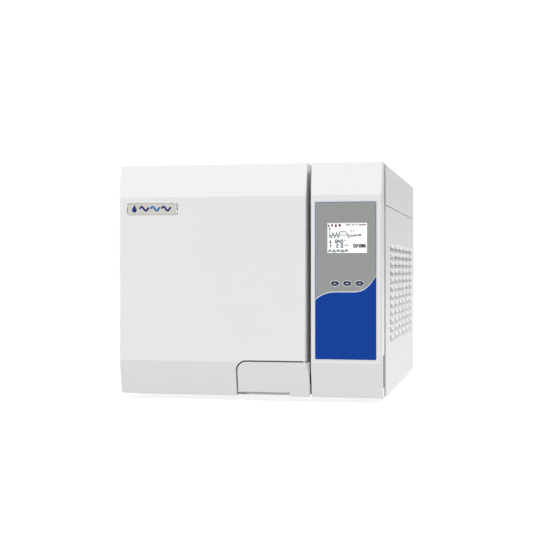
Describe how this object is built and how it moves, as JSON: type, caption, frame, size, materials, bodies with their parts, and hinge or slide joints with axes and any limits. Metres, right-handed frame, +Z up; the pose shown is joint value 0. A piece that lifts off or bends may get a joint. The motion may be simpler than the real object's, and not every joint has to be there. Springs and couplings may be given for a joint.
{
  "type": "benchtop autoclave",
  "caption": "Benchtop steam steriliser with a side-hinged door, round chamber with trays, control column, handle and louvred case.",
  "frame": {"origin": "middle of the whole footprint, at the underside of the rubber feet", "axes": "+X to the right of a person facing the door, -Y out of the door, +Z up"},
  "size_m": [0.487, 0.6766, 0.425],
  "materials": {
    "zinc_steel": "satin",
    "powder_coated_steel": "fine matt texture",
    "black_rubber": "matt",
    "white_abs": "fine moulded grain",
    "grey_abs": "moulded",
    "membrane_film": "fine textured film",
    "display_glass": "gloss",
    "circuit_board": "solder mask",
    "key_plastic": "satin",
    "stainless_steel": "brushed",
    "machined_steel": "turned",
    "glass_wool": "felted",
    "brass_band": "satin",
    "tray_aluminium": "anodised",
    "black_steel": "satin",
    "silicone": "matt",
    "badge_metal": "polished rim",
    "tank_plastic": "translucent moulding",
    "cast_aluminium": "cast",
    "valve_brass": "machined",
    "black_plastic": "moulded",
    "red_rocker": "satin",
    "filter_plastic": "moulded",
    "copper_pipe": "drawn"
  },
  "bodies": {
    "case": {"base_pan": "zinc_steel", "front_frame": "zinc_steel", "rear_panel": "zinc_steel", "vessel_cradles": "zinc_steel", "tank_shelf": "zinc_steel", "left_side_panel": "powder_coated_steel", "right_side_panel": "powder_coated_steel", "top_cover": "powder_coated_steel", "rubber_feet": "black_rubber", "control_fascia": "white_abs", "control_overlay": "membrane_film", "lcd_module": "display_glass", "control_board": "circuit_board", "chamber_vessel": "stainless_steel", "chamber_flange": "machined_steel", "chamber_insulation": "glass_wool", "heater_band": "brass_band", "tray_rack": "stainless_steel", "tray_low": "tray_aluminium", "tray_middle": "tray_aluminium", "tray_high": "tray_aluminium", "hinge_bracket": "black_steel", "hinge_pins": "machined_steel", "latch_keeper": "black_steel", "water_tank": "tank_plastic", "filler_frame": "grey_abs", "vacuum_pump": "cast_aluminium", "pump_mounts": "black_rubber", "water_pump": "cast_aluminium", "steam_generator": "cast_aluminium", "solenoid_valves": "valve_brass", "condenser": "cast_aluminium", "fan_frame": "black_plastic", "fan_guard": "machined_steel", "safety_valve": "valve_brass", "power_inlet": "black_plastic", "switch_body": "black_plastic", "fuse_holders": "black_plastic", "air_filter": "filter_plastic", "drain_couplings": "valve_brass", "power_board": "circuit_board", "pipework": "copper_pipe", "casing_screws": "machined_steel"},
    "door": {"door_cover": "white_abs", "door_inner_cover": "grey_abs", "door_plate": "stainless_steel", "door_gasket": "silicone", "door_arm": "black_steel", "door_plate_nut": "machined_steel", "door_screws": "machined_steel", "door_badge": "badge_metal", "handle_pin": "machined_steel"},
    "handle": {"handle": "white_abs", "latch_tongue": "machined_steel"},
    "key_left": {"key_left": "key_plastic"},
    "key_middle": {"key_middle": "key_plastic"},
    "key_right": {"key_right": "key_plastic"},
    "tank_lid": {"tank_lid": "grey_abs"},
    "switch_rocker": {"switch_rocker": "red_rocker"},
    "fan_rotor": {"fan_rotor": "black_plastic"}
  },
  "joints": [
    {"name": "door_hinge", "type": "hinge", "parent": "case", "child": "door", "pos_m": [-0.227, -0.30425, 0.21], "axis": [0, 0, -1], "range_deg": [0, 105]},
    {"name": "handle_pivot", "type": "hinge", "parent": "door", "child": "handle", "pos_m": [0.1005, -0.32675, 0.06], "axis": [0, 0, 1], "range_deg": [0, 35]},
    {"name": "tank_lid_hinge", "type": "hinge", "parent": "case", "child": "tank_lid", "pos_m": [-0.105, 0.23525, 0.4198], "axis": [-1, 0, 0], "range_deg": [0, 92]},
    {"name": "power_switch", "type": "hinge", "parent": "case", "child": "switch_rocker", "pos_m": [-0.14, 0.32025, 0.062], "axis": [1, 0, 0], "range_deg": [-6, 6]},
    {"name": "fan_spin", "type": "hinge", "parent": "case", "child": "fan_rotor", "pos_m": [0.15, 0.30825, 0.235], "axis": [0, 1, 0], "continuous": true},
    {"name": "key_left_press", "type": "slide", "parent": "case", "child": "key_left", "axis": [0, 1, 0], "range_m": [0, 0.0006], "stiffness_N_per_m": 1500},
    {"name": "key_middle_press", "type": "slide", "parent": "case", "child": "key_middle", "axis": [0, 1, 0], "range_m": [0, 0.0006], "stiffness_N_per_m": 1500},
    {"name": "key_right_press", "type": "slide", "parent": "case", "child": "key_right", "axis": [0, 1, 0], "range_m": [0, 0.0006], "stiffness_N_per_m": 1500}
  ]
}
